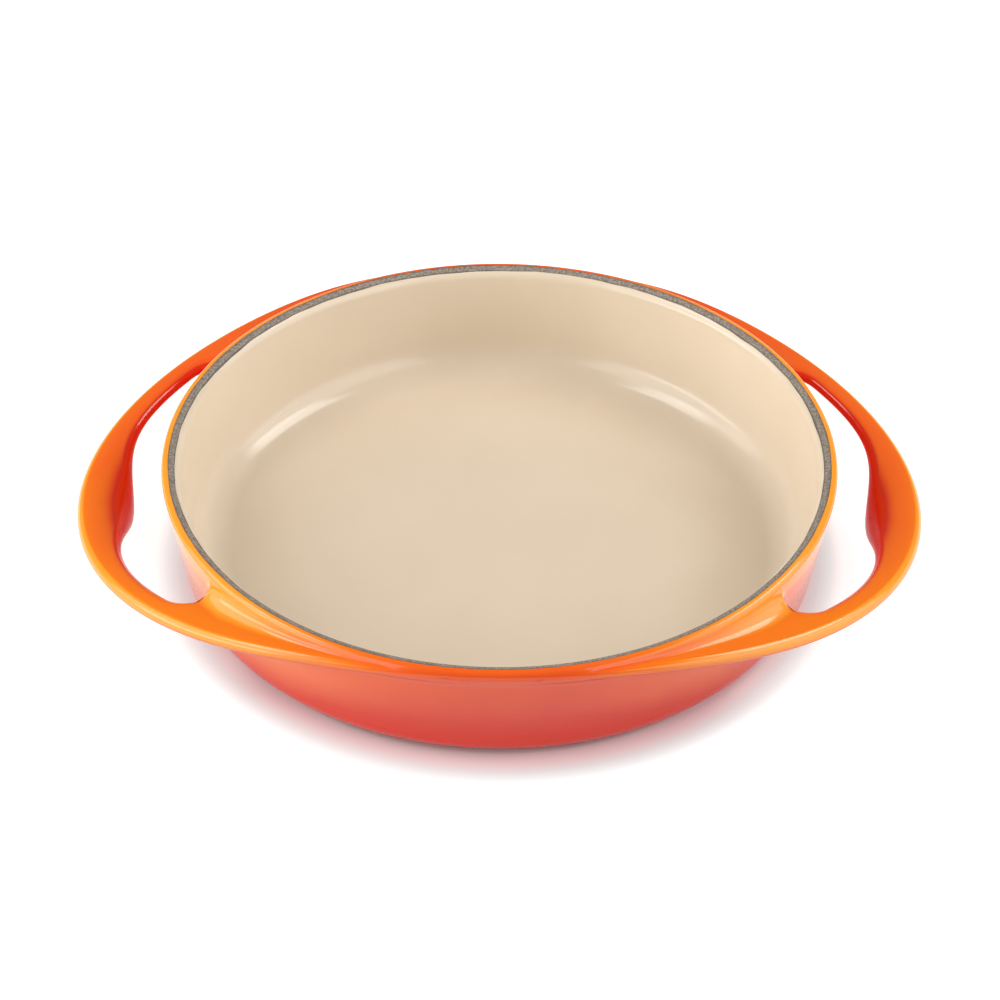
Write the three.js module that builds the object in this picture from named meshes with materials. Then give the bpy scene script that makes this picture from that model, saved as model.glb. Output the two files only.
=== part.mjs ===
// Tarte tatin dish: a shallow round dish cast in iron, with a flange that widens into two loop
// handles. Fired enamel covers it: a coloured coat outside, a pale lining inside, and a dark
// ground coat left bare on the rim and on the foot ring.
// Millimetres, +Z up, origin on the table under the middle of the dish, +X through one handle.

import * as THREE from 'three';
import { mergeVertices } from 'three/addons/utils/BufferGeometryUtils.js';

// Bowl
const RIM_HEIGHT = 49; // table to the crest of the lip
const LIP_RADIUS = 130; // outermost reach of the lip
const LIP_ROUND = 2.5; // outer corner of the lip
const LIP_SHOULDER = 5; // inner corner of the lip
const RIM_BAND = 2.4; // width of bare ground coat on the lip, seen from above
const WALL_LEAN = 11; // outside wall, degrees from upright
const LINING_LEAN = 9; // inside wall, degrees from upright
const BASE_ROUND = 10; // outside corner between the wall and the base
const COVE_ROUND = 15; // inside corner between the wall and the floor
const FLOOR_HEIGHT = 5.5; // table to the cooking floor

// Foot ring and the recess inside it
const FOOT_WIDTH = 6; // flat that stands on the table
const FOOT_BEVEL = 1.5; // slope between the flat and the recess
const RECESS_DEPTH = 1;
const FOOT_TURN = 80; // degrees round the base corner at which the coloured coat stops

// Fired enamel
const COAT = 0.45; // thickness
const BOND = 0.02; // clearance between a coat and the casting

// Flange and loop handles
const HANDLE_REACH = 33.6; // beyond the lip at the grips
const FLANGE_REACH = 0.2; // beyond the lip at the front and the back
const FLANGE_DEPTH = 1.2; // crest of the lip down to the flange, before the flange bends down
const FLANGE_THICKNESS = 8; // with a full round along the outer edge
const DROOP_START = 70; // distance from the middle at which the flange bends down
const DROOP_SLOPE = 0.2; // fall of the handles per millimetre outwards
const DROOP_EASE = 27; // softness of that bend
const GRIP_WIDTH = 21.3; // handle at its middle
const GRIP_CURL = 12; // fall of the grip towards the finger gap, over its width
const CURL_POWER = 3; // a higher one keeps the grip level for longer and then bends it more
const NECK_WIDTH = 9.4; // handle beside the grip
const GRIP_SPREAD = 10.4; // degrees over which the grip swells
const SWELL_POWER = 2.6; // a higher one gives the swell a flatter top and steeper sides
const GAP_HALF_ANGLE = 35; // finger gap to each side of the handle's middle, degrees
const GAP_CORNER = 12.5; // outer corners of the finger gap
const GAP_EDGE = 6; // width of the soft edge round the finger gap
const BLEND = 8; // fillet between the bowl and the flange

// Fineness of the facets
const GAP_COLUMNS = 9; // from the middle of a finger gap to its end
const WEB_COLUMNS = 8; // from there to the front or the back
const WEB_CROWDING = 1.7; // how much closer they stand beside the gap
const COVE_STEPS = 4;

const { clamp, degToRad, lerp, radToDeg } = THREE.MathUtils;
const wallLean = degToRad(WALL_LEAN);
const liningLean = degToRad(LINING_LEAN);
const gapHalfAngle = degToRad(GAP_HALF_ANGLE);
const halfThickness = FLANGE_THICKNESS / 2;
const handleLength = LIP_RADIUS + HANDLE_REACH;
const flangeLength = LIP_RADIUS + FLANGE_REACH;

// The larger of two distances, with the corner where both are zero rounded off.
function roundMax(a, b, radius) {
  const corner = Math.hypot(Math.max(a + radius, 0), Math.max(b + radius, 0));
  return Math.min(Math.max(a, b), -radius) + corner;
}

// The smaller of two distances, with a fillet in the corner where both are zero.
function roundMin(a, b, radius) {
  return -roundMax(-a, -b, radius);
}

// The outside wall, a cone that opens upwards.
function wallRadius(z) {
  return LIP_RADIUS + (z - RIM_HEIGHT + LIP_ROUND) * Math.tan(wallLean);
}

// Distance outside the filled bowl: under the lip, inside the wall and above the table.
function bowlDistance(radius, z) {
  const wall = (radius - wallRadius(z)) * Math.cos(wallLean);
  return roundMax(roundMax(wall, z - RIM_HEIGHT, LIP_ROUND), -z, BASE_ROUND);
}

// Seen from above, the flange and both handles lie inside one ellipse.
function outlineRadius(angle) {
  return 1 / Math.hypot(Math.cos(angle) / handleLength, Math.sin(angle) / flangeLength);
}

// The inner side of a handle, which swells towards the bowl at the grip.
function gripRadius(angle) {
  const swell = Math.exp(-((Math.abs(angle) / degToRad(GRIP_SPREAD)) ** SWELL_POWER));
  return outlineRadius(angle) - lerp(NECK_WIDTH, GRIP_WIDTH, swell);
}

// Top of the flange: nearly level at the front and back, falling towards the handles.
function flangeTop(x) {
  const past = Math.abs(x) - DROOP_START;
  const fall = DROOP_SLOPE * (past + Math.hypot(past, DROOP_EASE)) / 2;
  return RIM_HEIGHT - FLANGE_DEPTH - fall;
}

// A gap's corners are no rounder than the room between the handle and the bowl's wall allows.
const gapEndZ = flangeTop(LIP_RADIUS * Math.cos(gapHalfAngle)) - halfThickness;
const gapEndRoom = gripRadius(gapHalfAngle) - wallRadius(gapEndZ);
const gapCorner = Math.min(GAP_CORNER, gapEndRoom - BOND);

// Distance outside a finger gap, seen from above; the angle is taken from the handle's middle.
function gapDistance(angle, radius) {
  return roundMax(radius - gripRadius(angle), (angle - gapHalfAngle) * radius, gapCorner);
}

// Middle layer of the flange. Each handle also curls down towards its finger gap, most at the grip
// and not at all at the ends of the gap.
function flangeMiddle(x, y) {
  const angle = Math.atan2(Math.abs(y), Math.abs(x));
  const inward = Math.max(outlineRadius(angle) - Math.hypot(x, y), 0) / GRIP_WIDTH;
  const curl = GRIP_CURL * inward ** CURL_POWER * Math.max(1 - (angle / gapHalfAngle) ** 2, 0);
  return flangeTop(x) - halfThickness - curl;
}

// How far a place is round the flange's edges, from 0 on the flat to 1 at the very edge.
function edgeTurn(x, y) {
  const radius = Math.hypot(x, y);
  const angle = Math.atan2(Math.abs(y), Math.abs(x));
  const outer = 1 - (outlineRadius(angle) - radius) / halfThickness;
  const inset = gapDistance(angle, radius);
  const inner = 1 - inset / (inset > 0 ? GAP_EDGE : halfThickness);
  return Math.hypot(Math.max(outer, 0), Math.max(inner, 0));
}

// Distance outside the flange, a plate with rounded edges that follows its middle layer.
function flangeDistance(x, y, z) {
  const lift = (z - flangeMiddle(x, y)) / halfThickness;
  return (Math.hypot(edgeTurn(x, y), lift) - 1) * halfThickness;
}

// Distance outside the whole dish with its hollow filled. The fillet never rises over the lip.
function dishDistance({ x, y, z }) {
  const fillet = Math.min(BLEND, RIM_HEIGHT - flangeTop(x));
  return roundMin(bowlDistance(Math.hypot(x, y), z), flangeDistance(x, y, z), fillet);
}

function slopeOf(distance, point) {
  const step = 1e-3;
  const slope = new THREE.Vector3();
  for (const axis of ['x', 'y', 'z']) {
    const ahead = point.clone();
    const behind = point.clone();
    ahead[axis] += step;
    behind[axis] -= step;
    slope[axis] = (distance(ahead) - distance(behind)) / (2 * step);
  }
  return slope;
}

// Moves a point that lies near the dish's outside onto it, and finds the direction outwards.
function settle(point) {
  const place = point.clone();
  for (let pass = 0; pass < 8; pass += 1) {
    const slope = slopeOf(dishDistance, place);
    place.addScaledVector(slope, -dishDistance(place) / slope.lengthSq());
  }
  return { place, outward: slopeOf(dishDistance, place).normalize() };
}

// Columns run round the dish. Each has its angle, the angle from the nearer handle's middle, and
// says whether it crosses a finger gap, ends one or lies between the two handles.
function makeColumns() {
  const quarter = [];
  for (let i = 0; i <= GAP_COLUMNS; i += 1) {
    const kind = i < GAP_COLUMNS ? 'gap' : 'end';
    quarter.push({ turn: gapHalfAngle * Math.sin((Math.PI / 2) * (i / GAP_COLUMNS)), kind });
  }
  for (let i = 1; i <= WEB_COLUMNS; i += 1) {
    const share = (i / WEB_COLUMNS) ** WEB_CROWDING;
    quarter.push({ turn: lerp(gapHalfAngle, Math.PI / 2, share), kind: 'web' });
  }
  const back = quarter.slice(1, -1).reverse();
  const columns = [];
  for (const start of [0, Math.PI]) {
    quarter.forEach(({ turn, kind }) => columns.push({ angle: start + turn, turn, kind }));
    back.forEach(({ turn, kind }) => columns.push({ angle: start + Math.PI - turn, turn, kind }));
  }
  return columns;
}

const columns = makeColumns();

function onColumn(column, radius, z) {
  return new THREE.Vector3(radius * Math.cos(column.angle), radius * Math.sin(column.angle), z);
}

// A ring of a turned surface: one place on its profile and the direction outwards there.
function turnedRing(radius, z, outwardRadius, outwardZ) {
  const length = Math.hypot(outwardRadius, outwardZ);
  return columns.map((column) => ({
    place: onColumn(column, radius, z),
    outward: onColumn(column, outwardRadius / length, outwardZ / length),
  }));
}

// A place round the base corner, from 0 degrees on the wall to 90 on the table.
function baseCorner(degrees) {
  const turn = degToRad(degrees);
  const z = BASE_ROUND * (1 - Math.sin(turn));
  const inward = BASE_ROUND * (1 - Math.cos(turn)) / Math.cos(wallLean);
  return {
    radius: wallRadius(z) - inward,
    z,
    outwardRadius: Math.cos(turn) * Math.cos(wallLean),
    outwardZ: -Math.cos(turn) * Math.sin(wallLean) - Math.sin(turn),
  };
}

// A place round the lip's outer corner, from 0 degrees on the wall to 90 on the crest.
function lipCorner(degrees) {
  const turn = degToRad(degrees);
  const z = RIM_HEIGHT - LIP_ROUND * (1 - Math.sin(turn));
  return { radius: wallRadius(z) - LIP_ROUND * (1 - Math.cos(turn)) / Math.cos(wallLean), z };
}

const crest = lipCorner(90);
const foot = baseCorner(FOOT_TURN);
const footFlat = baseCorner(90);

// Places on one column's section of the outside, before they settle: the lip side above and below
// the flange, and the flange itself from its inner end to its outer edge.
function sectionPlaces(column) {
  const outline = outlineRadius(column.turn);
  const along = Math.cos(column.turn);
  const aside = Math.sin(column.turn);
  const rootZ = flangeTop(LIP_RADIUS * along) - halfThickness;
  const root = wallRadius(rootZ);
  const topZ = rootZ + halfThickness;
  const lipTurn = radToDeg(Math.asin(clamp(1 - (RIM_HEIGHT - topZ) / LIP_ROUND, 0, 1)));
  const start = lipCorner(lipTurn).radius;
  const edge = Math.min(halfThickness, 0.4 * (outline - start));
  const shoulder = outline - edge;

  let inner = start + 0.25 * (shoulder - start);
  if (column.kind === 'gap') {
    const intoCorner = Math.max(gapCorner - (gapHalfAngle - column.turn) * outline, 0);
    inner = gripRadius(column.turn) - gapCorner + Math.sqrt(gapCorner ** 2 - intoCorner ** 2);
  } else if (column.kind === 'end') {
    inner = gripRadius(column.turn) - gapCorner;
  }
  const soft = column.kind === 'gap' ? GAP_EDGE : Infinity;
  const across = [
    inner + Math.min(0.3 * soft, 0.33 * (shoulder - inner)),
    inner + Math.min(soft, 0.67 * (shoulder - inner)),
    shoulder,
    outline - 0.3 * edge,
  ];
  const middleZ = (radius) => flangeMiddle(radius * along, radius * aside);
  const faceZ = (radius, side) => {
    const turn = Math.min(edgeTurn(radius * along, radius * aside), 1);
    return middleZ(radius) + side * halfThickness * Math.sqrt(1 - turn ** 2);
  };
  return { root, rootZ, topZ, lipTurn, edge, inner, across, outline, middleZ, faceZ };
}

// Settled places of one column, listed from the lip's crest to the foot. A finger gap splits the
// list: the bowl's wall then runs straight down, and the handle closes round on itself.
function columnPlaces(column) {
  const { root, rootZ, topZ, lipTurn, edge, inner, across, outline, middleZ, faceZ } = sectionPlaces(column);
  const settled = (radius, z) => settle(onColumn(column, radius, z));
  const split = column.kind === 'gap';
  const lowZ = rootZ - halfThickness;
  const onRim = column.kind === 'web' ? 1 : 0;
  const upperEndZ = lerp(middleZ(inner), faceZ(inner, 1), onRim);
  const lips = [0.5, 0.9].map((share) => lipCorner(lerp(90, lipTurn, share)));

  const above = lips.map(({ radius, z }) => settled(radius, z));
  const below = [];
  const lowest = baseCorner(0);
  if (split) {
    [0.45, 0.8].forEach((share) => {
      const z = lerp(lips[1].z, rootZ, share);
      above.push(settled(wallRadius(z), z));
    });
    [lowZ - 0.3 * BLEND, lowZ - BLEND].forEach((z) => below.push(settled(wallRadius(z), z)));
  } else {
    const corner = Math.min(BLEND, edge, RIM_HEIGHT - topZ);
    [0.4, 0.75].forEach((share) => {
      above.push(settled(lerp(lips[1].radius, inner, share), lerp(lips[1].z, upperEndZ, share)));
    });
    below.push(settled(wallRadius(lowZ) + 0.3 * corner, lowZ - 0.3 * corner));
    below.push(settled(wallRadius(lowZ - BLEND), lowZ - BLEND));
  }
  [lowest, baseCorner(45)].forEach(({ radius, z }) => below.push(settled(radius, z)));

  const tip = settled(outline, middleZ(outline));
  const top = across.map((radius) => settled(radius, faceZ(radius, 1)));
  const under = across.map((radius) => settled(radius, faceZ(radius, -1)));
  const upperEnd = settled(inner, upperEndZ);
  const lowerEnd = onRim ? settled(inner, faceZ(inner, -1)) : upperEnd;
  const wallEnd = split ? settled(root, rootZ) : upperEnd;
  const lowerWallEnd = split ? wallEnd : lowerEnd;
  return {
    upper: [...above, wallEnd],
    handle: [upperEnd, ...top, tip, ...under.reverse(), lowerEnd],
    lower: [lowerWallEnd, ...below],
  };
}

function ringsOf(listName, places) {
  return places[0][listName].map((_, row) => places.map((column) => column[listName][row]));
}

// Outside, from the crest of the lip to the foot, in three strips that meet beside the finger gaps.
function outsideStrips() {
  const places = columns.map(columnPlaces);
  const crestRing = turnedRing(crest.radius, crest.z, 0, 1);
  const footRing = turnedRing(foot.radius, foot.z, foot.outwardRadius, foot.outwardZ);
  return [
    [crestRing, ...ringsOf('upper', places)],
    ringsOf('handle', places),
    [...ringsOf('lower', places), footRing],
  ];
}

// Foot ring, from the end of the coloured coat to the recess.
function footStrips() {
  const flatInside = footFlat.radius - FOOT_WIDTH;
  const slopeLength = Math.hypot(FOOT_BEVEL, RECESS_DEPTH);
  const midOutward = [-RECESS_DEPTH / slopeLength, -1 - FOOT_BEVEL / slopeLength];
  return [[
    turnedRing(foot.radius, foot.z, foot.outwardRadius, foot.outwardZ),
    turnedRing(footFlat.radius, 0, 0, -1),
    turnedRing(flatInside, 0, ...midOutward),
    turnedRing(flatInside - FOOT_BEVEL, RECESS_DEPTH, ...midOutward),
  ]];
}

// Recess under the dish, from the foot ring to the middle.
function baseStrips() {
  const footRing = footStrips()[0].at(-1);
  return [[footRing, turnedRing(0, RECESS_DEPTH, 0, -1)]];
}

// Bare lip, from the lining up its rounded shoulder to the crest.
const shoulderZ = RIM_HEIGHT - LIP_SHOULDER;
const bandTurn = Math.asin(RIM_BAND / LIP_SHOULDER);

function shoulderRing(turn) {
  const radius = crest.radius - LIP_SHOULDER * Math.sin(turn);
  return turnedRing(radius, shoulderZ + LIP_SHOULDER * Math.cos(turn), -Math.sin(turn), Math.cos(turn));
}

function rimStrips() {
  return [[1, 0.5, 0].map((share) => shoulderRing(share * bandTurn))];
}

// Lining, from the middle of the floor round the cove and up the wall to the lip.
function liningStrips() {
  const wallTurn = Math.PI / 2 - liningLean;
  const wallTop = crest.radius - LIP_SHOULDER * Math.sin(wallTurn);
  const wallTopZ = shoulderZ + LIP_SHOULDER * Math.cos(wallTurn);
  const wallFoot = wallTop - (wallTopZ - FLOOR_HEIGHT) * Math.tan(liningLean);
  const coveRadius = wallFoot - COVE_ROUND * Math.tan(wallTurn / 2);
  const rings = [turnedRing(0, FLOOR_HEIGHT, 0, 1)];
  for (let step = 0; step <= COVE_STEPS; step += 1) {
    const turn = wallTurn * (step / COVE_STEPS);
    const radius = coveRadius + COVE_ROUND * Math.sin(turn);
    const z = FLOOR_HEIGHT + COVE_ROUND * (1 - Math.cos(turn));
    rings.push(turnedRing(radius, z, -Math.sin(turn), Math.cos(turn)));
  }
  [wallTurn, (wallTurn + bandTurn) / 2, bandTurn].forEach((turn) => rings.push(shoulderRing(turn)));
  return [rings];
}

const onFace = (ring) => ring.map(({ place }) => place);
const sunk = (ring, depth) => ring.map(({ place, outward }) => place.clone().addScaledVector(outward, -depth));
const underCoat = (ring) => sunk(ring, COAT);
const onCasting = (ring) => sunk(ring, COAT + BOND);

// Triangles between rings of points. Those of the backs face the other way.
function solidFrom(fronts, backs = []) {
  const corners = [];
  const addTriangle = (a, b, c) => {
    if (!a.equals(b) && !b.equals(c) && !c.equals(a)) corners.push(...a, ...b, ...c);
  };
  const addStrip = (rings, addFacing) => {
    for (let row = 1; row < rings.length; row += 1) {
      const upper = rings[row - 1];
      const lower = rings[row];
      upper.forEach((point, i) => {
        const next = (i + 1) % upper.length;
        addFacing(point, lower[i], lower[next]);
        addFacing(point, lower[next], upper[next]);
      });
    }
  };
  fronts.forEach((rings) => addStrip(rings, addTriangle));
  backs.forEach((rings) => addStrip(rings, (a, b, c) => addTriangle(a, c, b)));
  const geometry = new THREE.BufferGeometry();
  geometry.setAttribute('position', new THREE.Float32BufferAttribute(corners, 3));
  return mergeVertices(geometry, 1e-3);
}

// A coat: its face, the face that it is fired onto, and its two narrow ends.
function coatSolid(strips) {
  const faces = strips.map((rings) => rings.map(onFace));
  const backs = strips.map((rings) => rings.map(underCoat));
  const first = strips[0][0];
  const last = strips.at(-1).at(-1);
  const ends = [[onFace(last), underCoat(last)], [underCoat(first), onFace(first)]];
  return solidFrom([...faces, ...ends], backs);
}

const coats = {
  outer_enamel: { strips: outsideStrips(), color: 0xeb6420, roughness: 0.16 },
  foot_enamel: { strips: footStrips(), color: 0x3a3532, roughness: 0.6 },
  base_enamel: { strips: baseStrips(), color: 0xcf4a2a, roughness: 0.3 },
  inner_enamel: { strips: liningStrips(), color: 0xdcc8ac, roughness: 0.3 },
  rim_enamel: { strips: rimStrips(), color: 0x8f8276, roughness: 0.7 },
};

const dish = new THREE.Group();

function addPiece(name, geometry, color, roughness, metalness) {
  const material = new THREE.MeshStandardMaterial({ color, roughness, metalness });
  const mesh = new THREE.Mesh(geometry, material);
  mesh.name = name;
  dish.add(mesh);
}

// The casting fills everything under the coats.
const castingFaces = Object.values(coats).flatMap(({ strips }) => strips);
addPiece('iron_casting', solidFrom(castingFaces.map((rings) => rings.map(onCasting))), 0x4a4a4c, 0.6, 0.9);

for (const [name, { strips, color, roughness }] of Object.entries(coats)) {
  addPiece(name, coatSolid(strips), color, roughness, 0);
}

export default dish;
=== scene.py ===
import math

import bpy
import numpy as np
from mathutils import Matrix, Vector


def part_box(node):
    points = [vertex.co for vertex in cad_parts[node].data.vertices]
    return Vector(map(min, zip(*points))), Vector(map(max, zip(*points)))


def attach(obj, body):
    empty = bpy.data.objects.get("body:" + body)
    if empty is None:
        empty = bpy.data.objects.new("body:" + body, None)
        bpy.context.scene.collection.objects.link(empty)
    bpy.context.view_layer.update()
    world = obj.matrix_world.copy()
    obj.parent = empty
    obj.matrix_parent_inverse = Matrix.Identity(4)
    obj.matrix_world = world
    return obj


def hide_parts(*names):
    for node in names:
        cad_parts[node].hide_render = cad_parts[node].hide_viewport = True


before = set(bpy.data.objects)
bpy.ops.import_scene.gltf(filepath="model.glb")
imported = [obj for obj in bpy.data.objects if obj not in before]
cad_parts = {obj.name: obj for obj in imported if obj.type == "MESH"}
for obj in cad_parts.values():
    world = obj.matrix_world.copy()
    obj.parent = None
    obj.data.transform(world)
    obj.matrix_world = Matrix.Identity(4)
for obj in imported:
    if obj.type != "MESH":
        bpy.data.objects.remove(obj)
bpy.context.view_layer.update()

# Sizes of the dish, in millimetres. The overall ones come from the frame.
MM = 0.001

# Lip, bare rim and the outline's half axes
RIM_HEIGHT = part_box("rim_enamel")[1].z / MM
HANDLE_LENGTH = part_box("outer_enamel")[1].x / MM
FLANGE_LENGTH = 129.6
LIP_RADIUS = 130.0
LIP_ROUND = 2.5
LIP_SHOULDER = 5.0
RIM_BAND = 3.1
COAT_LAP = 0.32

# Wall, floor and foot
WALL_LEAN = math.radians(11)
LINING_LEAN = math.radians(9)
BASE_ROUND = 10.0
COVE_ROUND = 15.0
FLOOR_HEIGHT = 5.5
FOOT_WIDTH = 6.0
FOOT_BEVEL = 1.5
RECESS_DEPTH = 1.0
FOOT_TURN = math.radians(80)
COAT = 0.45

# Flange, with its drop at the handles
FLANGE_DEPTH = 0.9
HALF_THICKNESS = 2.8
FRONT_HALF_THICKNESS = 1.4
FRONT_LENGTH = 60.0
DROOP_START = 70.0
DROOP_SLOPE = 0.2237
DROOP_EASE = 27.0

# Handles and finger gaps
GRIP_WIDTH = 21.3
GRIP_CURL = 12.0
CURL_POWER = 3
NECK_WIDTH = 10.2
GRIP_SPREAD = math.radians(11.6)
SWELL_POWER = 2
GAP_HALF_ANGLE = math.radians(35)
GAP_CORNER = 12.5
GAP_EDGE = 4.0

# Fillet between bowl and flange: its full radius, and the least above and below the flange
BLEND = 8.0
LEAST_BLEND = 1.2
LEAST_LOWER_BLEND = 2.8

# Unevenness of the bare rim's borders with the lining and with the outer coat
LINING_WANDER = 0.4
COAT_WANDER = 0.2

# Fineness of the meshes: columns, rows, and how many rows of a coat's face one row of its back stands for
GAP_COLUMNS = 52
WEB_COLUMNS = 56
WEB_CROWDING = 1.8
UPPER_ROWS = 36
LOWER_ROWS = 26
BEND_ROWS = 11
FLAT_ROWS = 9
BASE_ROWS = 10
RIM_ROWS = 14
FLOOR_ROWS = 14
COVE_ROWS = 25
WALL_ROWS = 10
SHOULDER_ROWS = 10
BACK_STEP = 3
SETTLE_STEPS = 9


# The outside as a distance


def round_max(a, b, radius):
    """The larger of two distances, with a circle of that radius in the corner where both are zero."""
    corner = np.hypot(np.maximum(a + radius, 0), np.maximum(b + radius, 0))
    return np.minimum(np.maximum(a, b), -radius) + corner


def round_min(a, b, radius):
    """The smaller of two distances, with a fillet of that radius in the corner where both are zero."""
    return -round_max(-a, -b, radius)


def wall_radius(z):
    """The outside wall: a cone that opens upwards and reaches the lip's radius under the lip's corner."""
    return LIP_RADIUS + (z - RIM_HEIGHT + LIP_ROUND) * math.tan(WALL_LEAN)


def bowl_distance(radius, z):
    """Distance outside the filled bowl: under the lip, inside the wall and above the table."""
    wall = (radius - wall_radius(z)) * math.cos(WALL_LEAN)
    return round_max(round_max(wall, z - RIM_HEIGHT, LIP_ROUND), -z, BASE_ROUND)


def outline_radius(turn):
    """The flange and both handles end at one ellipse; turn is the angle from the handle's middle."""
    return 1 / np.hypot(np.cos(turn) / HANDLE_LENGTH, np.sin(turn) / FLANGE_LENGTH)


def grip_radius(turn):
    """Inner side of a handle: the ellipse less the neck's width and a bell-shaped swell at the grip."""
    swell = np.exp(-((turn / GRIP_SPREAD) ** SWELL_POWER))
    return outline_radius(turn) - NECK_WIDTH - (GRIP_WIDTH - NECK_WIDTH) * swell


def gap_distance(turn, radius):
    """Distance outside a finger gap, seen from above."""
    return round_max(radius - grip_radius(turn), (turn - GAP_HALF_ANGLE) * radius, GAP_CORNER)


def flange_top(x):
    """Top of the flange: a hyperbola, nearly level at the front and back and evenly sloped at the handles."""
    past = np.abs(x) - DROOP_START
    return RIM_HEIGHT - FLANGE_DEPTH - DROOP_SLOPE * (past + np.hypot(past, DROOP_EASE)) / 2


def half_thickness(x):
    """Half of the flange's thickness, which falls off towards the front and back as a bell curve says."""
    return HALF_THICKNESS - (HALF_THICKNESS - FRONT_HALF_THICKNESS) * np.exp(-((x / FRONT_LENGTH) ** 2))


def flange_middle(x, y):
    """Middle layer of the flange. The grip curls down with a power of the distance from the outer edge."""
    turn = np.arctan2(np.abs(y), np.abs(x))
    inward = np.maximum(outline_radius(turn) - np.hypot(x, y), 0) / GRIP_WIDTH
    curl = GRIP_CURL * inward**CURL_POWER * np.maximum(1 - (turn / GAP_HALF_ANGLE) ** 2, 0)
    return flange_top(x) - half_thickness(x) - curl


def edge_turn(x, y):
    """How far a place is round the flange's edges, from 0 on the flat to 1 at the very edge."""
    radius = np.hypot(x, y)
    turn = np.arctan2(np.abs(y), np.abs(x))
    outer = 1 - (outline_radius(turn) - radius) / half_thickness(x)
    inset = gap_distance(turn, radius)
    inner = 1 - inset / np.where(inset > 0, GAP_EDGE, half_thickness(x))
    return np.hypot(np.maximum(outer, 0), np.maximum(inner, 0))


def flange_distance(x, y, z):
    """Distance outside the flange, a plate with rounded edges that follows its middle layer."""
    half = half_thickness(x)
    return (np.hypot(edge_turn(x, y), (z - flange_middle(x, y)) / half) - 1) * half


def dish_distance(places):
    """Distance outside the dish with its hollow filled: bowl and flange, joined by a fillet. The lip leaves
    little room for it above the flange at the front and back; below the flange it is wider there."""
    x, y, z = np.moveaxis(places, -1, 0)
    room = RIM_HEIGHT - LIP_ROUND / 2 - flange_top(x)
    upper = np.clip(room, LEAST_BLEND, BLEND)
    lower = np.clip(room, LEAST_LOWER_BLEND, BLEND)
    down = np.clip((flange_top(x) - z) / (2 * half_thickness(x)), 0, 1)
    fillet = upper + (lower - upper) * down
    return round_min(bowl_distance(np.hypot(x, y), z), flange_distance(x, y, z), fillet)


def slope(places, step=1e-3):
    """Slope of the distance, from its change over a small step both ways along each axis."""
    steps = np.eye(3) * step
    changes = [dish_distance(places + s) - dish_distance(places - s) for s in steps]
    return np.stack(changes, -1) / (2 * step)


def settle(places):
    """Moves places near the outside onto it by Newton's steps; also gives the direction outwards."""
    for _ in range(SETTLE_STEPS):
        steepest = slope(places)
        length = np.sum(steepest**2, -1, keepdims=True)
        places = places - steepest * dish_distance(places)[..., None] / np.maximum(length, 1e-9)
    outward = slope(places)
    return places, outward / np.linalg.norm(outward, axis=-1, keepdims=True)


# Columns run round the dish: their angle, and the angle from the nearer handle's middle. Gap columns
# cross a finger gap, end columns lie at its ends, and the others lie between the two handles.
gap_turns = GAP_HALF_ANGLE * np.sin(np.pi / 2 * np.arange(GAP_COLUMNS + 1) / GAP_COLUMNS)
web_shares = (np.arange(1, WEB_COLUMNS + 1) / WEB_COLUMNS) ** WEB_CROWDING
quarter = np.concatenate([gap_turns, GAP_HALF_ANGLE + (np.pi / 2 - GAP_HALF_ANGLE) * web_shares])
half = np.concatenate([quarter, np.pi - quarter[-2:0:-1]])
angle = np.concatenate([half, half + np.pi])
turn = np.concatenate([quarter, quarter[-2:0:-1]] * 2)
gap = turn < gap_turns[-2] + 1e-9
end = ~gap & (turn < GAP_HALF_ANGLE + 1e-9)
web = ~gap & ~end


def on_columns(radius, z):
    """Places at a radius and a height on every column."""
    radius, z = np.broadcast_arrays(radius, z)
    return np.stack([radius * np.cos(angle), radius * np.sin(angle), z], -1)


def spread(keys, weights, count):
    """Rows of places along straight lines between key places, at even steps of weighted length."""
    keys = np.stack(keys)
    legs = np.diff(keys, axis=0)
    lengths = np.linalg.norm(legs, axis=-1) * np.asarray(weights)[:, None]
    starts = np.cumsum(lengths, 0) - lengths
    wanted = np.linspace(0, 1, count)[:, None, None] * np.sum(lengths, 0)
    shares = np.clip((wanted - starts) / np.maximum(lengths, 1e-9), 0, 1)
    return keys[0] + np.einsum("rlc,lcx->rcx", shares, legs)


def lip_corner(turned):
    """A place round the lip's outer corner, from 0 on the wall to a quarter turn on the crest."""
    z = RIM_HEIGHT - LIP_ROUND * (1 - np.sin(turned))
    return wall_radius(z) - LIP_ROUND * (1 - np.cos(turned)) / math.cos(WALL_LEAN), z


def base_corner(turned):
    """A place round the base corner, from 0 on the wall to a quarter turn on the table."""
    z = BASE_ROUND * (1 - np.sin(turned))
    return wall_radius(z) - BASE_ROUND * (1 - np.cos(turned)) / math.cos(WALL_LEAN), z


CREST_RADIUS = float(lip_corner(np.pi / 2)[0])


def wander(height, seed):
    """An uneven hand-wiped edge: waves round the dish, shorter ones lower, with seeded phases."""
    random = np.random.default_rng(seed)
    waves = np.array([3, 7, 13, 23, 37, 61])
    phases = random.uniform(0, 2 * np.pi, len(waves))
    heights = random.uniform(0.5, 1, len(waves)) / waves**0.35
    return height * np.sum(heights * np.sin(angle[:, None] * waves + phases), -1) / np.sum(heights)


# Borders of the bare rim, as turns round the lip's inner corner: the lining's and, just inside the crest,
# the outer coat's
band_turn = np.arcsin((RIM_BAND + wander(LINING_WANDER, 3)) / LIP_SHOULDER)
coat_turn = np.arcsin((COAT_LAP + wander(COAT_WANDER, 5)) / LIP_SHOULDER)


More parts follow.
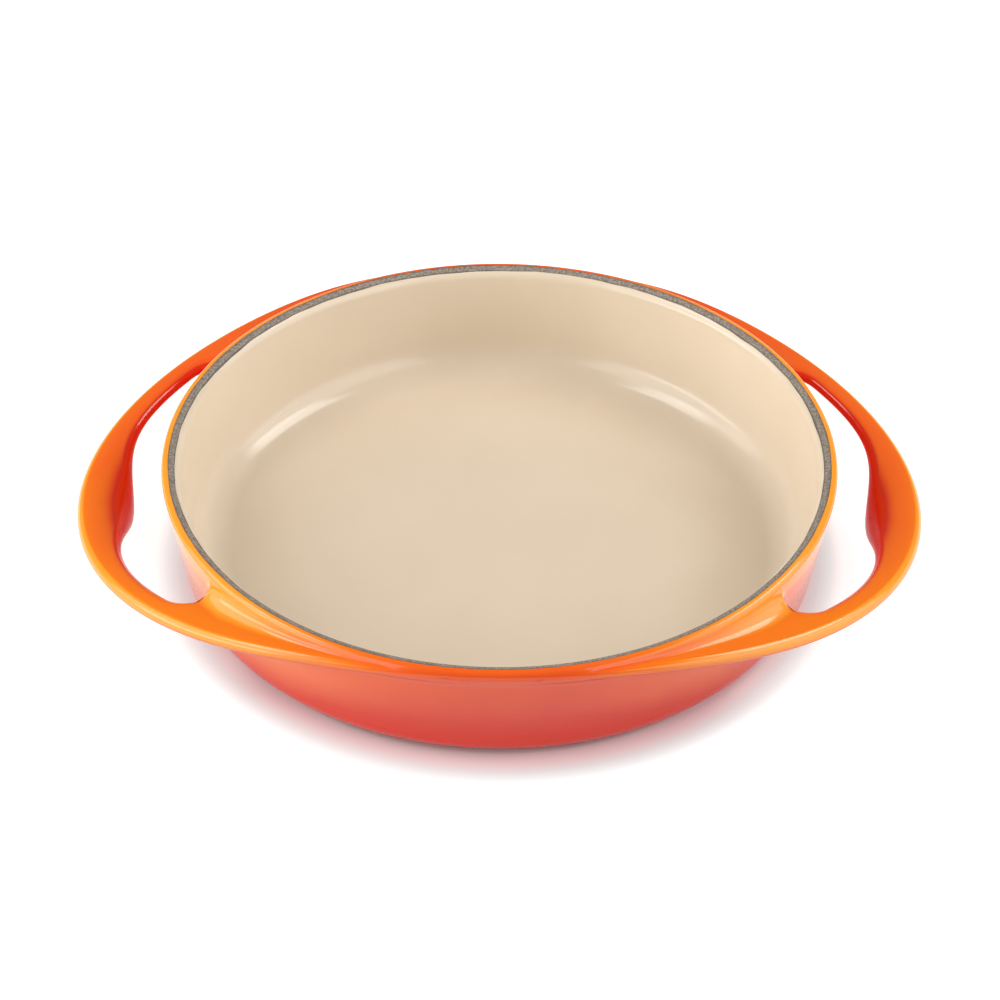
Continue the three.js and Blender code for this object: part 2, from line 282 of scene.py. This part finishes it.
def outside_strips():
    """The outside in three grids of rows and columns: from the bare rim to the flange, round the flange,
    and from there to the foot. Each has its places and the directions outwards."""
    along, aside = np.cos(turn), np.sin(turn)
    outline = outline_radius(turn)
    top_z = flange_top(LIP_RADIUS * along)
    root_z = top_z - half_thickness(LIP_RADIUS * along)
    low_z = root_z - half_thickness(LIP_RADIUS * along)
    root = wall_radius(root_z)
    lip_end = np.arcsin(np.clip(1 - (RIM_HEIGHT - top_z) / LIP_ROUND, 0, 1))
    start, start_z = lip_corner(lip_end)
    edge = np.minimum(half_thickness(outline * along), 0.4 * (outline - start))
    shoulder = outline - edge

    into_corner = np.maximum(GAP_CORNER - (GAP_HALF_ANGLE - turn) * outline, 0)
    beside = np.sqrt(np.maximum(GAP_CORNER**2 - into_corner**2, 0))
    inner = np.where(web, start + 0.25 * (shoulder - start), grip_radius(turn) - GAP_CORNER + beside)
    soft = np.minimum(GAP_EDGE, 0.67 * (shoulder - inner))

    def middle(radius):
        return flange_middle(radius * along, radius * aside)

    def face(radius, side):
        turned = np.minimum(edge_turn(radius * along, radius * aside), 1)
        return middle(radius) + side * half_thickness(radius * along) * np.sqrt(1 - turned**2)

    upper_end = np.where(web, face(inner, 1), middle(inner))
    lower_end = np.where(web, face(inner, -1), middle(inner))
    last_radius = np.where(gap, root, inner)
    meeting = np.where(lip_end > 0, start, wall_radius(top_z))
    upper = spread(
        [
            on_columns(CREST_RADIUS - LIP_SHOULDER * np.sin(coat_turn), RIM_HEIGHT),
            on_columns(np.full_like(turn, CREST_RADIUS), RIM_HEIGHT),
            on_columns(*lip_corner((np.pi + lip_end) / 3)),
            on_columns(*lip_corner((np.pi / 2 + lip_end * 2) / 3)),
            on_columns(start, start_z),
            on_columns(meeting, top_z),
            on_columns(last_radius, np.where(gap, root_z, upper_end)),
        ],
        [4, 4, 4, 4, 1, 1.5],
        UPPER_ROWS,
    )

    bends = np.linspace(0, np.pi / 2, BEND_ROWS)[:, None]
    flat = np.linspace(0, 1, FLAT_ROWS)[1:, None]
    across = np.concatenate(
        [
            inner + soft * (1 - np.cos(bends)),
            inner + soft + (shoulder - inner - soft) * flat,
            shoulder + edge * np.sin(bends[1:]),
        ]
    )
    tops = np.stack([face(radius, 1) for radius in across])
    unders = np.stack([face(radius, -1) for radius in across])
    tops[0], unders[0] = upper_end, lower_end
    over = np.stack([on_columns(radius, z) for radius, z in zip(across, tops)])
    under = np.stack([on_columns(radius, z) for radius, z in zip(across, unders)])
    handle = np.concatenate([over, under[-2::-1]])

    lower = spread(
        [
            on_columns(last_radius, np.where(gap, root_z, lower_end)),
            on_columns(wall_radius(low_z), low_z),
            on_columns(wall_radius(low_z - BLEND), low_z - BLEND),
            on_columns(*base_corner(np.zeros_like(turn))),
        ],
        [1.5, 1.5, 1],
        LOWER_ROWS,
    )
    base_turns = np.linspace(0, FOOT_TURN, BASE_ROWS)[1:]
    base = np.stack([on_columns(*base_corner(np.full_like(turn, turned))) for turned in base_turns])
    lower = np.concatenate([lower, base])

    upper, handle, lower = ([*settle(rows)] for rows in (upper, handle, lower))
    for k in range(2):
        handle[k][0] = np.where(gap[:, None], handle[k][0], upper[k][-1])
        handle[k][-1] = np.where(web[:, None], handle[k][-1], handle[k][0])
        lower[k][0] = np.where(web[:, None], handle[k][-1], upper[k][-1])
    return [tuple(upper), tuple(handle), tuple(lower)]


# Turned surfaces


def turned(radius, z, outward_radius, outward_z):
    """A turned surface from its profile: radius and height of each row, and the direction outwards there.
    A profile value is one number for the whole row or one for each column."""
    length = np.hypot(outward_radius, outward_z)
    spoke = np.stack([np.cos(angle), np.sin(angle)], -1)

    def rows(flat, upright):
        flat, upright = np.broadcast_arrays(flat, upright)
        flat = np.broadcast_to(flat if flat.ndim == 2 else flat[:, None], (len(flat), len(angle)))
        upright = np.broadcast_to(upright if upright.ndim == 2 else upright[:, None], flat.shape)
        return np.concatenate([flat[..., None] * spoke, upright[..., None]], -1)

    return rows(radius, z), rows(outward_radius / length, outward_z / length)


shoulder_z = RIM_HEIGHT - LIP_SHOULDER


def shoulder_rows(turns):
    """Rows round the lip's inner corner, a quarter circle inwards from the crest."""
    s, c = np.sin(turns), np.cos(turns)
    return turned(CREST_RADIUS - LIP_SHOULDER * s, shoulder_z + LIP_SHOULDER * c, -s, c)


def rim_strips():
    """The bare rim, a band of the lip's inner corner between the lining and the outer coat."""
    shares = np.linspace(1, 0, RIM_ROWS)[:, None]
    return [shoulder_rows(coat_turn + shares * (band_turn - coat_turn))]


def lining_strips():
    """The lining: a flat floor, a cove of one radius, a straight wall and the lip's inner corner."""
    wall_turn = np.pi / 2 - LINING_LEAN
    wall_top = CREST_RADIUS - LIP_SHOULDER * math.sin(wall_turn)
    wall_top_z = shoulder_z + LIP_SHOULDER * math.cos(wall_turn)
    wall_foot = wall_top - (wall_top_z - FLOOR_HEIGHT) * math.tan(LINING_LEAN)
    cove_radius = wall_foot - COVE_ROUND * math.tan(wall_turn / 2)

    floor = np.linspace(0, cove_radius, FLOOR_ROWS)[:-1]
    cove = wall_turn * np.linspace(0, 1, COVE_ROWS)
    cove_top = cove_radius + COVE_ROUND * math.sin(wall_turn)
    cove_top_z = FLOOR_HEIGHT + COVE_ROUND * (1 - math.cos(wall_turn))
    rise = np.linspace(0, 1, WALL_ROWS)[1:-1]
    flat = np.ones_like(floor)
    wall = np.ones_like(rise)
    profile = [
        np.concatenate(
            [
                floor,
                cove_radius + COVE_ROUND * np.sin(cove),
                cove_top + (wall_top - cove_top) * rise,
            ]
        ),
        np.concatenate(
            [
                FLOOR_HEIGHT * flat,
                FLOOR_HEIGHT + COVE_ROUND * (1 - np.cos(cove)),
                cove_top_z + (wall_top_z - cove_top_z) * rise,
            ]
        ),
        np.concatenate([0 * flat, -np.sin(cove), -math.sin(wall_turn) * wall]),
        np.concatenate([flat, np.cos(cove), math.cos(wall_turn) * wall]),
    ]
    below = turned(*profile)
    shares = np.linspace(0, 1, SHOULDER_ROWS)[:, None]
    above = shoulder_rows(wall_turn + shares * (band_turn - wall_turn))
    return [tuple(np.concatenate(rows) for rows in zip(below, above))]


def foot_strips():
    """The foot ring: the end of the base corner, the flat that stands on the table, and a bevel."""
    turns = np.linspace(FOOT_TURN, np.pi / 2, 4)
    corner = turned(
        *base_corner(turns),
        np.cos(turns) * math.cos(WALL_LEAN),
        -np.cos(turns) * math.sin(WALL_LEAN) - np.sin(turns),
    )
    flat_outside = float(base_corner(np.pi / 2)[0])
    flat_inside = flat_outside - FOOT_WIDTH
    bevel = math.hypot(FOOT_BEVEL, RECESS_DEPTH)
    radius = np.array([flat_outside - FOOT_WIDTH / 2, flat_inside, flat_inside - FOOT_BEVEL])
    z = np.array([0, 0, RECESS_DEPTH])
    outward_radius = np.array([0, -RECESS_DEPTH / bevel, -RECESS_DEPTH / bevel])
    outward_z = np.array([-1, -1 - FOOT_BEVEL / bevel, -1 - FOOT_BEVEL / bevel])
    inside = turned(radius, z, outward_radius, outward_z)
    return [tuple(np.concatenate(rows) for rows in zip(corner, inside))]


def base_strips():
    """The recess inside the foot ring, a flat disc."""
    first = [rows[-1:] for rows in foot_strips()[0]]
    radius = np.linspace(np.hypot(*first[0][0, 0, :2]), 0, 10)[1:]
    disc = turned(radius, np.full_like(radius, RECESS_DEPTH), 0 * radius, -np.ones_like(radius))
    return [tuple(np.concatenate(rows) for rows in zip(first, disc))]


# Meshes


def grid_triangles(rows, flipped=False):
    """Corner places of the triangles between neighbouring rows and columns, the columns closing round."""
    here, below = rows[:-1], rows[1:]
    here_next, below_next = np.roll(here, -1, 1), np.roll(below, -1, 1)
    corners = np.concatenate(
        [
            np.stack([here, below, below_next], 2).reshape(-1, 3, 3),
            np.stack([here, below_next, here_next], 2).reshape(-1, 3, 3),
        ]
    )
    return corners[:, ::-1] if flipped else corners


def under_coat(strip):
    """The face that a coat is fired onto, with every few rows of the coat's face."""
    places, outward = strip
    kept = np.unique(np.append(np.arange(0, len(places), BACK_STEP), len(places) - 1))
    return places[kept] - COAT * outward[kept]


def coat_triangles(strips):
    """A coat as a closed solid: its face, the face under it and its two narrow ends."""
    first = np.stack([under_coat(strips[0])[0], strips[0][0][0]])
    last = np.stack([strips[-1][0][-1], under_coat(strips[-1])[-1]])
    faces = [grid_triangles(places) for places, _ in strips]
    backs = [grid_triangles(under_coat(strip), flipped=True) for strip in strips]
    return np.concatenate(faces + backs + [grid_triangles(first), grid_triangles(last)])


def new_piece(name, triangles, material):
    """A mesh from corner places in millimetres. Equal places become one vertex, and triangles without area
    go."""
    rounded = np.round(triangles.reshape(-1, 3), 5)
    _, first, corner = np.unique(rounded, axis=0, return_index=True, return_inverse=True)
    corner = corner.reshape(-1, 3)
    a, b, c = corner.T
    corner = corner[(a != b) & (b != c) & (c != a)]
    mesh = bpy.data.meshes.new(name)
    mesh.from_pydata(triangles.reshape(-1, 3)[first] * MM, [], corner)
    mesh.shade_smooth()
    mesh.materials.append(material)
    piece = bpy.data.objects.new(name, mesh)
    bpy.context.scene.collection.objects.link(piece)
    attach(piece, "root")
    return piece


# Materials


def linear(code):
    """Linear colour of an sRGB hex value."""
    parts = [int(code[i : i + 2], 16) / 255 for i in (1, 3, 5)]
    return [v / 12.92 if v <= 0.04045 else ((v + 0.055) / 1.055) ** 2.4 for v in parts] + [1.0]


def add(tree, kind, inputs=(), **settings):
    """Adds a node with its settings; inputs gives each socket a value or another node's output."""
    node = tree.nodes.new(kind)
    for name, value in settings.items():
        setattr(node, name, value)
    for socket, value in dict(inputs).items():
        if isinstance(value, bpy.types.NodeSocket):
            tree.links.new(value, node.inputs[socket])
        else:
            node.inputs[socket].default_value = value
    return node


def new_material(name):
    """A material with an empty tree and its output."""
    material = bpy.data.materials.new(name)
    material.use_nodes = True
    material.node_tree.nodes.clear()
    return material, material.node_tree, material.node_tree.nodes.new("ShaderNodeOutputMaterial")


def colour_ramp(tree, factor, stops):
    """Colour that follows a factor through stops, each a position and a hex value."""
    ramp = add(tree, "ShaderNodeValToRGB", {"Fac": factor})
    elements = ramp.color_ramp.elements
    while len(elements) < len(stops):
        elements.new(0.5)
    for element, (position, code) in zip(elements, stops):
        element.position = position
        element.color = linear(code)
    return ramp.outputs["Color"]


def per_metre(size_mm):
    """Scale of a pattern whose features are that many millimetres apart."""
    return 1 / (size_mm * MM)


def orange_enamel():
    """Glossy sprayed enamel over cast iron: red where little spray reached, orange on the tops and amber
    where it ran thin over the edges, under a clear and slightly wavy surface. The colour also holds painted
    light: a dark painted contact shadow along the foot, and a wall painted lighter and more orange towards
    the left."""
    material, tree, out = new_material("orange_enamel")
    place = add(tree, "ShaderNodeTexCoord").outputs["Object"]
    spray_with_painted_light = add(tree, "ShaderNodeAttribute", attribute_name="spray_with_painted_light").outputs["Fac"]
    cloud = add(tree, "ShaderNodeTexNoise", {"Vector": place, "Scale": per_metre(28), "Detail": 3.0})
    uneven = add(
        tree,
        "ShaderNodeMath",
        {0: cloud.outputs["Fac"], 1: 0.1, 2: spray_with_painted_light},
        operation="MULTIPLY_ADD",
    )
    shade = add(tree, "ShaderNodeMath", {0: uneven.outputs[0], 1: 0.05}, operation="SUBTRACT")
    # The first stop, dark brown, is mostly the colour of the painted contact shadow at the foot.
    stops = [
        (0.0, "#3c1610"),
        (0.13, "#e82212"),
        (0.32, "#dc320e"),
        (0.53, "#ee6018"),
        (0.7, "#f07a08"),
        (0.87, "#f89a28"),
        (1.0, "#fab048"),
    ]
    colour = colour_ramp(tree, shade.outputs[0], stops)
    wave = add(tree, "ShaderNodeTexNoise", {"Vector": place, "Scale": per_metre(5), "Detail": 2.0})
    bump = add(
        tree,
        "ShaderNodeBump",
        {"Height": wave.outputs["Fac"], "Strength": 0.12, "Distance": 0.4 * MM},
    )
    shader = add(
        tree,
        "ShaderNodeBsdfPrincipled",
        {
            "Base Color": colour,
            "Roughness": 0.12,
            "IOR": 1.5,
            "Normal": bump.outputs["Normal"],
        },
    )
    tree.links.new(shader.outputs["BSDF"], out.inputs["Surface"])
    return material


def sand_enamel():
    """Satin cooking enamel: an even sand colour with faint clouds and a soft, slightly grainy shine."""
    material, tree, out = new_material("sand_enamel")
    place = add(tree, "ShaderNodeTexCoord").outputs["Object"]
    cloud = add(tree, "ShaderNodeTexNoise", {"Vector": place, "Scale": per_metre(45), "Detail": 4.0})
    colour = add(
        tree,
        "ShaderNodeMix",
        {"Factor": cloud.outputs["Fac"], 6: linear("#dac8af"), 7: linear("#e4d2ba")},
        data_type="RGBA",
    )
    grain = add(tree, "ShaderNodeTexNoise", {"Vector": place, "Scale": per_metre(1.2), "Detail": 3.0})
    bump = add(
        tree,
        "ShaderNodeBump",
        {"Height": grain.outputs["Fac"], "Strength": 0.05, "Distance": 0.2 * MM},
    )
    shader = add(
        tree,
        "ShaderNodeBsdfPrincipled",
        {
            "Base Color": colour.outputs[2],
            "Roughness": 0.18,
            "IOR": 1.5,
            "Normal": bump.outputs["Normal"],
        },
    )
    tree.links.new(shader.outputs["BSDF"], out.inputs["Surface"])
    return material


def ground_coat():
    """Matt ground enamel left bare: warm grey, finely pitted, with dark pits and pale specks, and darker
    along the borders where the other coats end."""
    material, tree, out = new_material("ground_coat")
    place = add(tree, "ShaderNodeTexCoord").outputs["Object"]
    fine = add(tree, "ShaderNodeTexNoise", {"Vector": place, "Scale": per_metre(0.9), "Detail": 4.0})
    pits = add(
        tree,
        "ShaderNodeMapRange",
        {"Value": fine.outputs["Fac"], "From Min": 0.38, "From Max": 0.62},
    )
    colour = add(
        tree,
        "ShaderNodeMix",
        {"Factor": pits.outputs["Result"], 6: linear("#6e645b"), 7: linear("#9e9285")},
        data_type="RGBA",
    )
    border = add(tree, "ShaderNodeAttribute", attribute_name="border").outputs["Fac"]
    colour = add(
        tree,
        "ShaderNodeMix",
        {"Factor": border, 6: colour.outputs[2], 7: linear("#5a5048")},
        data_type="RGBA",
    )
    bump = add(
        tree,
        "ShaderNodeBump",
        {"Height": fine.outputs["Fac"], "Strength": 0.6, "Distance": 0.3 * MM},
    )
    shader = add(
        tree,
        "ShaderNodeBsdfPrincipled",
        {
            "Base Color": colour.outputs[2],
            "Roughness": 0.6,
            "IOR": 1.5,
            "Normal": bump.outputs["Normal"],
        },
    )
    tree.links.new(shader.outputs["BSDF"], out.inputs["Surface"])
    return material


def base_enamel():
    """The coloured coat under the dish: a thinner, duller red spray."""
    material, tree, out = new_material("base_enamel")
    place = add(tree, "ShaderNodeTexCoord").outputs["Object"]
    cloud = add(tree, "ShaderNodeTexNoise", {"Vector": place, "Scale": per_metre(30), "Detail": 4.0})
    colour = add(
        tree,
        "ShaderNodeMix",
        {"Factor": cloud.outputs["Fac"], 6: linear("#c02818"), 7: linear("#d8401c")},
        data_type="RGBA",
    )
    wave = add(tree, "ShaderNodeTexNoise", {"Vector": place, "Scale": per_metre(4), "Detail": 3.0})
    bump = add(
        tree,
        "ShaderNodeBump",
        {"Height": wave.outputs["Fac"], "Strength": 0.2, "Distance": 0.4 * MM},
    )
    shader = add(
        tree,
        "ShaderNodeBsdfPrincipled",
        {
            "Base Color": colour.outputs[2],
            "Roughness": 0.3,
            "IOR": 1.5,
            "Normal": bump.outputs["Normal"],
        },
    )
    tree.links.new(shader.outputs["BSDF"], out.inputs["Surface"])
    return material


def cast_iron():
    """Grey iron as it leaves the sand mould, dark and grainy; the coats hide it."""
    material, tree, out = new_material("cast_iron")
    place = add(tree, "ShaderNodeTexCoord").outputs["Object"]
    grain = add(tree, "ShaderNodeTexNoise", {"Vector": place, "Scale": per_metre(1), "Detail": 4.0})
    bump = add(
        tree,
        "ShaderNodeBump",
        {"Height": grain.outputs["Fac"], "Strength": 0.5, "Distance": 0.4 * MM},
    )
    shader = add(
        tree,
        "ShaderNodeBsdfPrincipled",
        {
            "Base Color": linear("#4a4a4c"),
            "Metallic": 1.0,
            "Roughness": 0.6,
            "Normal": bump.outputs["Normal"],
        },
    )
    tree.links.new(shader.outputs["BSDF"], out.inputs["Surface"])
    return material


# Pieces


def smooth_step(low, high, value):
    """0 below low, 1 above high, with a smooth S between."""
    share = np.clip((value - low) / (high - low), 0, 1)
    return share * share * (3 - 2 * share)


# Amounts of spray on the outer coat: on the wall, the lip, the flange's top and edges, and in the gaps
WALL_FOOT_SPRAY = 0.08
WALL_SPRAY = 0.24
SIDE_WALL_SPRAY = 0.22
# Painted light: more spray per millimetre towards the left, standing in for the stronger light from that
# side.
LEFT_WALL_PAINTED_LIGHT = 0.0006
LIP_SPRAY = 0.48
SIDE_LIP_SPRAY = 0.37
UNDER_SPRAY = 0.2
TOP_SPRAY = 0.4
HANDLE_SPRAY_LOSS = 0.08
BACK_SPRAY_LOSS = 0.0024
EDGE_SPRAY = 0.45
SIDE_EDGE_SPRAY = 0.4
GAP_SPRAY = 0.02
LEAST_SPRAY = 0.15


def spray_with_painted_light_amount(places):
    """How much of the spray a place of the outer coat has, from 0, dark, over red to 1, amber. It follows the
    direction that the surface faces, the height on the wall, and the closeness of an edge. Painted light is
    mixed in: near the foot the amount falls to 0 as a painted contact shadow, and the wall gets more towards
    the left as painted light from that side."""
    outward = slope(places)
    outward /= np.linalg.norm(outward, axis=-1, keepdims=True)
    x, y, z = places.T
    radius = np.hypot(x, y)
    away = (outward[:, 0] * x + outward[:, 1] * y) / radius
    up = outward[:, 2]
    below = flange_top(LIP_RADIUS * x / radius) - z
    beside = smooth_step(15, 110, np.abs(x))
    # Painted light: the wall is made lighter and more orange towards the left, where the light is stronger.
    wall_spray = WALL_SPRAY + SIDE_WALL_SPRAY * beside - LEFT_WALL_PAINTED_LIGHT * x
    wall = WALL_FOOT_SPRAY + wall_spray * smooth_step(0, 44 - 20 * beside, z)
    lip = smooth_step(2, -4, below)
    bowl = wall + (LIP_SPRAY + SIDE_LIP_SPRAY * beside - wall) * lip
    handle = smooth_step(LIP_RADIUS, HANDLE_LENGTH, np.abs(x))
    top_spray = TOP_SPRAY - HANDLE_SPRAY_LOSS * handle - BACK_SPRAY_LOSS * np.maximum(y, 0)
    top = UNDER_SPRAY + top_spray * smooth_step(0.3, 0.95, up)
    edge = smooth_step(0.05, 0.55, away) * smooth_step(-0.7, 0.1, up)
    inside = smooth_step(0.15, 0.62, -away)
    flange = top + (EDGE_SPRAY + SIDE_EDGE_SPRAY * beside - top) * edge
    flange = flange * (1 - inside) + GAP_SPRAY * inside
    on_flange = smooth_step(0, 3, bowl_distance(radius, z))
    # Painted contact shadow: below 6.6 mm on the wall the coat darkens to the first, dark brown stop.
    painted_foot_shadow = smooth_step(4.2, 6.6, z)
    return painted_foot_shadow * (LEAST_SPRAY + (1 - LEAST_SPRAY) * (bowl + (flange - bowl) * on_flange))


def border_amount(places):
    """How close a place of the bare rim is to one of its two borders, from 0 in the middle to 1."""
    inset = CREST_RADIUS - np.hypot(places[:, 0], places[:, 1])
    middle = (RIM_BAND + COAT_LAP) / 2
    half_width = (RIM_BAND - COAT_LAP) / 2
    return smooth_step(0.5, 1.05, np.abs(inset - middle) / half_width)


def give(piece, name, amount):
    """Gives each vertex of a piece the amount that a function of its place in millimetres says."""
    places = np.empty(len(piece.data.vertices) * 3)
    piece.data.vertices.foreach_get("co", places)
    values = amount(places.reshape(-1, 3) / MM).astype(np.float32)
    piece.data.attributes.new(name, "FLOAT", "POINT").data.foreach_set("value", values)


ground = ground_coat()
coats = {
    "outer_enamel": (outside_strips(), orange_enamel(), "orange_enamel"),
    "inner_enamel": (lining_strips(), sand_enamel(), "sand_enamel"),
    "rim_enamel": (rim_strips(), ground, "ground_coat"),
    "foot_enamel": (foot_strips(), ground, "ground_coat"),
    "base_enamel": (base_strips(), base_enamel(), "base_enamel"),
}
for node, (strips, material, slot) in coats.items():
    piece = new_piece(node + "_coat", coat_triangles(strips), material)
    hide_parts(node)
    if node == "outer_enamel":
        give(piece, "spray_with_painted_light", spray_with_painted_light_amount)
    if node == "rim_enamel":
        give(piece, "border", border_amount)

casting_faces = [grid_triangles(under_coat(s)) for strips, _, _ in coats.values() for s in strips]
casting = new_piece("iron_casting_body", np.concatenate(casting_faces), cast_iron())
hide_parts("iron_casting")


# Floor

# Painted shadow on the floor: the paper's own light fades between these distances from the dish, and sooner
# at the sides.
PAINTED_SHADOW_NEAR = 110 * MM
PAINTED_SHADOW_FAR = 139 * MM
PAINTED_SHADOW_SIDE_STRETCH = 1.035


def pale_floor():
    """White paper: it takes the shadow as any matt surface does, and the open paper reaches white for the
    camera and for mirror images through a little light of its own. Towards the dish that light is a painted
    shadow: it fades to dark red under the base, a painted contact shadow with a painted red reflection of the
    wall above, is greyed further out against the red bounce, and fades sooner at the sides."""
    material, tree, out = new_material("white_paper_with_painted_shadow")
    path = add(tree, "ShaderNodeLightPath").outputs
    seen = add(
        tree,
        "ShaderNodeMath",
        {0: path["Is Camera Ray"], 1: path["Is Glossy Ray"]},
        operation="MAXIMUM",
    )
    seen = add(
        tree,
        "ShaderNodeMath",
        {0: seen.outputs[0], 1: path["Is Transmission Ray"]},
        operation="MAXIMUM",
    )
    place = add(tree, "ShaderNodeTexCoord").outputs["Object"]
    wide = add(tree, "ShaderNodeVectorMath", {0: place, 1: (PAINTED_SHADOW_SIDE_STRETCH, 1, 1)}, operation="MULTIPLY")
    away = add(tree, "ShaderNodeVectorMath", {0: wide.outputs[0]}, operation="LENGTH").outputs["Value"]
    clear = add(tree, "ShaderNodeMapRange", {"Value": away, "From Min": PAINTED_SHADOW_NEAR, "From Max": PAINTED_SHADOW_FAR})
    # Painted contact shadow and painted red reflection of the wall: dark red near the base, greyed further
    # out, white in the open.
    stops = [
        (0.0, "#200404"),
        (0.235, "#660a0a"),
        (0.29, "#874f4e"),
        (0.375, "#965c60"),
        (0.49, "#967271"),
        (0.65, "#8c9595"),
        (0.83, "#a6bdbd"),
        (1.0, "#e1e1e1"),
    ]
    glow_with_painted_shadow = colour_ramp(tree, clear.outputs[0], stops)
    paper = add(tree, "ShaderNodeBsdfDiffuse", {"Color": linear("#d2d2d2")})
    light = add(tree, "ShaderNodeEmission", {"Color": glow_with_painted_shadow, "Strength": seen.outputs[0]})
    both = add(tree, "ShaderNodeAddShader", {0: paper.outputs[0], 1: light.outputs[0]})
    tree.links.new(both.outputs[0], out.inputs["Surface"])
    return material


FLOOR_HALF = 5.0
floor_mesh = bpy.data.meshes.new("floor")
floor_corners = np.array([[-1, -1, 0], [1, -1, 0], [1, 1, 0], [-1, 1, 0]]) * FLOOR_HALF
floor_mesh.from_pydata(floor_corners, [], [(0, 1, 2, 3)])
floor_mesh.materials.append(pale_floor())
floor = bpy.data.objects.new("floor", floor_mesh)
bpy.context.scene.collection.objects.link(floor)


# Light

LIT_PLACE = Vector((0, 0, 0.03))


def softbox(name, toward, distance, width, height, radiance, roll=0):
    """A softbox that faces the dish from a direction, rolled about that direction by an angle in degrees.
    Its power follows from its area and its radiance."""
    data = bpy.data.lights.new(name, "AREA")
    data.shape = "RECTANGLE"
    data.size = width
    data.size_y = height
    data.energy = radiance * math.pi * width * height
    lamp = bpy.data.objects.new(name, data)
    direction = Vector(toward).normalized()
    aim = direction.to_track_quat("Z", "Y").to_matrix().to_4x4()
    place = Matrix.Translation(LIT_PLACE + direction * distance)
    lamp.matrix_world = place @ aim @ Matrix.Rotation(math.radians(roll), 4, "Z")
    bpy.context.scene.collection.objects.link(lamp)


softbox("left_softbox", (-0.616, -0.023, 0.768), distance=1.6, width=0.6, height=0.66, radiance=5.3, roll=35)
softbox("right_softbox", (0.65, 0.215, 0.712), distance=1.6, width=0.75, height=0.62, radiance=5.9, roll=-35)
softbox("left_fill", (-0.87, -0.27, 0.41), distance=2.0, width=2.9, height=1.7, radiance=2.2)
softbox("right_fill", (0.87, -0.27, 0.41), distance=2.0, width=2.9, height=1.7, radiance=2.1)
softbox("left_kicker", (-0.95, -0.28, 0.15), distance=2.0, width=1.6, height=0.6, radiance=3.2)

world = bpy.data.worlds.new("studio")
world.use_nodes = True
world.node_tree.nodes["Background"].inputs["Color"].default_value = (1, 1, 1, 1)
world.node_tree.nodes["Background"].inputs["Strength"].default_value = 0.21
bpy.context.scene.world = world
bpy.context.scene.view_settings.view_transform = "Standard"


# Camera, at the photograph's viewing angle

CAMERA_DISTANCE = 1.8
CAMERA_ELEVATION = math.radians(37.505)
CAMERA_PITCH = math.radians(38.017)
CAMERA_AZIMUTH = math.radians(0.84)
CAMERA_ROLL = math.radians(0.345)
AIM_DEPTH = 1.0
PICTURE_FOCUS = 4.6747
PICTURE_SHIFT = 0.0007

camera_data = bpy.data.cameras.new("camera")
camera_data.sensor_width = 36
camera_data.lens = PICTURE_FOCUS * camera_data.sensor_width
camera_data.shift_x = PICTURE_SHIFT
camera = bpy.data.objects.new("camera", camera_data)
round_dish = Matrix.Rotation(CAMERA_AZIMUTH, 4, "Z")
back = Vector((0, -math.cos(CAMERA_ELEVATION), math.sin(CAMERA_ELEVATION))) * CAMERA_DISTANCE
stand = Matrix.Translation(back + Vector((0, 0, (RIM_HEIGHT - AIM_DEPTH) * MM)))
tilt = Matrix.Rotation(math.pi / 2 - CAMERA_PITCH, 4, "X")
camera.matrix_world = round_dish @ stand @ tilt @ Matrix.Rotation(CAMERA_ROLL, 4, "Z")
bpy.context.scene.collection.objects.link(camera)
bpy.context.scene.camera = camera
